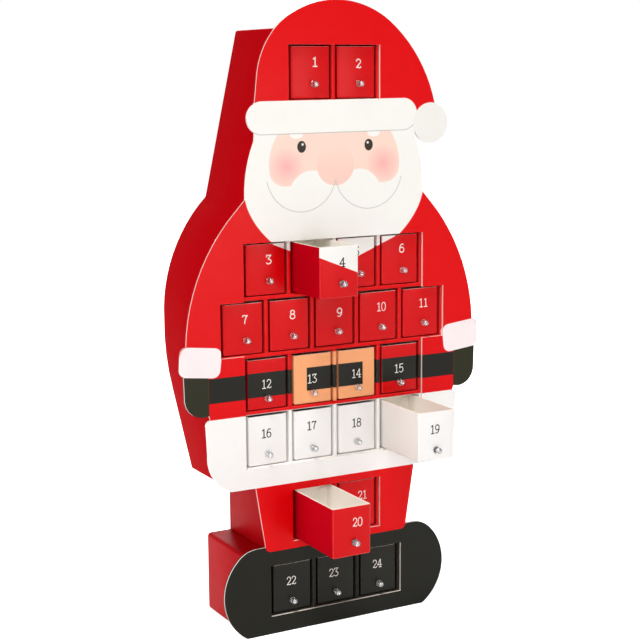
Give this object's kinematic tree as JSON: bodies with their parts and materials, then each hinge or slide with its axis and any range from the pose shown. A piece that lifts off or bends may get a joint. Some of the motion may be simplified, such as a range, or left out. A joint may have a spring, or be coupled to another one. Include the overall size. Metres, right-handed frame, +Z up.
{
  "type": "card advent calendar with drawers",
  "caption": "Free-standing card advent calendar: a flat printed Father Christmas front on a shallow box of sliding card drawers with clear bead knobs.",
  "frame": {"origin": "on the floor under the boot box, in the middle of the width and of the box's depth", "axes": "+Z up the figure, -Y out of the printed front, +X to the right as the front is seen"},
  "size_m": [0.3078, 0.1621, 0.5676],
  "materials": {
    "printed_front": "printed",
    "red_wrap": "printed",
    "red_card": "printed",
    "white_card": "printed",
    "black_card": "printed",
    "amber_card": "printed",
    "clear_bead": "clear"
  },
  "bodies": {
    "cabinet": {"front_panel": "printed_front", "back_panel": "red_wrap", "body_wall": "red_wrap", "leg_walls": "red_wrap", "boot_wall": "red_wrap", "hat_shelves": "red_wrap", "coat_shelves": "red_wrap", "lower_shelves": "red_wrap", "hat_dividers": "red_wrap", "coat_dividers": "red_wrap", "lower_dividers": "red_wrap"},
    "drawer_01": {"drawer_01": "red_card", "knob_01": "clear_bead"},
    "drawer_02": {"drawer_02": "red_card", "knob_02": "clear_bead"},
    "drawer_03": {"drawer_03": "red_card", "knob_03": "clear_bead"},
    "drawer_04": {"drawer_04": "red_card", "knob_04": "clear_bead"},
    "drawer_05": {"drawer_05": "red_card", "knob_05": "clear_bead"},
    "drawer_06": {"drawer_06": "red_card", "knob_06": "clear_bead"},
    "drawer_07": {"drawer_07": "red_card", "knob_07": "clear_bead"},
    "drawer_08": {"drawer_08": "red_card", "knob_08": "clear_bead"},
    "drawer_09": {"drawer_09": "red_card", "knob_09": "clear_bead"},
    "drawer_10": {"drawer_10": "red_card", "knob_10": "clear_bead"},
    "drawer_11": {"drawer_11": "red_card", "knob_11": "clear_bead"},
    "drawer_12": {"drawer_12": "red_card", "knob_12": "clear_bead"},
    "drawer_13": {"drawer_13": "amber_card", "knob_13": "clear_bead"},
    "drawer_14": {"drawer_14": "amber_card", "knob_14": "clear_bead"},
    "drawer_15": {"drawer_15": "red_card", "knob_15": "clear_bead"},
    "drawer_16": {"drawer_16": "white_card", "knob_16": "clear_bead"},
    "drawer_17": {"drawer_17": "white_card", "knob_17": "clear_bead"},
    "drawer_18": {"drawer_18": "white_card", "knob_18": "clear_bead"},
    "drawer_19": {"drawer_19": "white_card", "knob_19": "clear_bead"},
    "drawer_20": {"drawer_20": "red_card", "knob_20": "clear_bead"},
    "drawer_21": {"drawer_21": "red_card", "knob_21": "clear_bead"},
    "drawer_22": {"drawer_22": "black_card", "knob_22": "clear_bead"},
    "drawer_23": {"drawer_23": "black_card", "knob_23": "clear_bead"},
    "drawer_24": {"drawer_24": "black_card", "knob_24": "clear_bead"}
  },
  "joints": [
    {"name": "drawer_01_slide", "type": "slide", "parent": "cabinet", "child": "drawer_01", "axis": [0, -1, 0], "range_m": [0, 0.072]},
    {"name": "drawer_02_slide", "type": "slide", "parent": "cabinet", "child": "drawer_02", "axis": [0, -1, 0], "range_m": [0, 0.072]},
    {"name": "drawer_03_slide", "type": "slide", "parent": "cabinet", "child": "drawer_03", "axis": [0, -1, 0], "range_m": [0, 0.072]},
    {"name": "drawer_04_slide", "type": "slide", "parent": "cabinet", "child": "drawer_04", "axis": [0, -1, 0], "range_m": [-0.0495, 0.0225]},
    {"name": "drawer_05_slide", "type": "slide", "parent": "cabinet", "child": "drawer_05", "axis": [0, -1, 0], "range_m": [0, 0.072]},
    {"name": "drawer_06_slide", "type": "slide", "parent": "cabinet", "child": "drawer_06", "axis": [0, -1, 0], "range_m": [0, 0.072]},
    {"name": "drawer_07_slide", "type": "slide", "parent": "cabinet", "child": "drawer_07", "axis": [0, -1, 0], "range_m": [0, 0.072]},
    {"name": "drawer_08_slide", "type": "slide", "parent": "cabinet", "child": "drawer_08", "axis": [0, -1, 0], "range_m": [0, 0.072]},
    {"name": "drawer_09_slide", "type": "slide", "parent": "cabinet", "child": "drawer_09", "axis": [0, -1, 0], "range_m": [0, 0.072]},
    {"name": "drawer_10_slide", "type": "slide", "parent": "cabinet", "child": "drawer_10", "axis": [0, -1, 0], "range_m": [0, 0.072]},
    {"name": "drawer_11_slide", "type": "slide", "parent": "cabinet", "child": "drawer_11", "axis": [0, -1, 0], "range_m": [0, 0.072]},
    {"name": "drawer_12_slide", "type": "slide", "parent": "cabinet", "child": "drawer_12", "axis": [0, -1, 0], "range_m": [0, 0.072]},
    {"name": "drawer_13_slide", "type": "slide", "parent": "cabinet", "child": "drawer_13", "axis": [0, -1, 0], "range_m": [0, 0.072]},
    {"name": "drawer_14_slide", "type": "slide", "parent": "cabinet", "child": "drawer_14", "axis": [0, -1, 0], "range_m": [0, 0.072]},
    {"name": "drawer_15_slide", "type": "slide", "parent": "cabinet", "child": "drawer_15", "axis": [0, -1, 0], "range_m": [0, 0.072]},
    {"name": "drawer_16_slide", "type": "slide", "parent": "cabinet", "child": "drawer_16", "axis": [0, -1, 0], "range_m": [0, 0.072]},
    {"name": "drawer_17_slide", "type": "slide", "parent": "cabinet", "child": "drawer_17", "axis": [0, -1, 0], "range_m": [0, 0.072]},
    {"name": "drawer_18_slide", "type": "slide", "parent": "cabinet", "child": "drawer_18", "axis": [0, -1, 0], "range_m": [0, 0.072]},
    {"name": "drawer_19_slide", "type": "slide", "parent": "cabinet", "child": "drawer_19", "axis": [0, -1, 0], "range_m": [-0.063, 0.009]},
    {"name": "drawer_20_slide", "type": "slide", "parent": "cabinet", "child": "drawer_20", "axis": [0, -1, 0], "range_m": [-0.07, 0.002]},
    {"name": "drawer_21_slide", "type": "slide", "parent": "cabinet", "child": "drawer_21", "axis": [0, -1, 0], "range_m": [0, 0.072]},
    {"name": "drawer_22_slide", "type": "slide", "parent": "cabinet", "child": "drawer_22", "axis": [0, -1, 0], "range_m": [0, 0.072]},
    {"name": "drawer_23_slide", "type": "slide", "parent": "cabinet", "child": "drawer_23", "axis": [0, -1, 0], "range_m": [0, 0.072]},
    {"name": "drawer_24_slide", "type": "slide", "parent": "cabinet", "child": "drawer_24", "axis": [0, -1, 0], "range_m": [0, 0.072]}
  ]
}
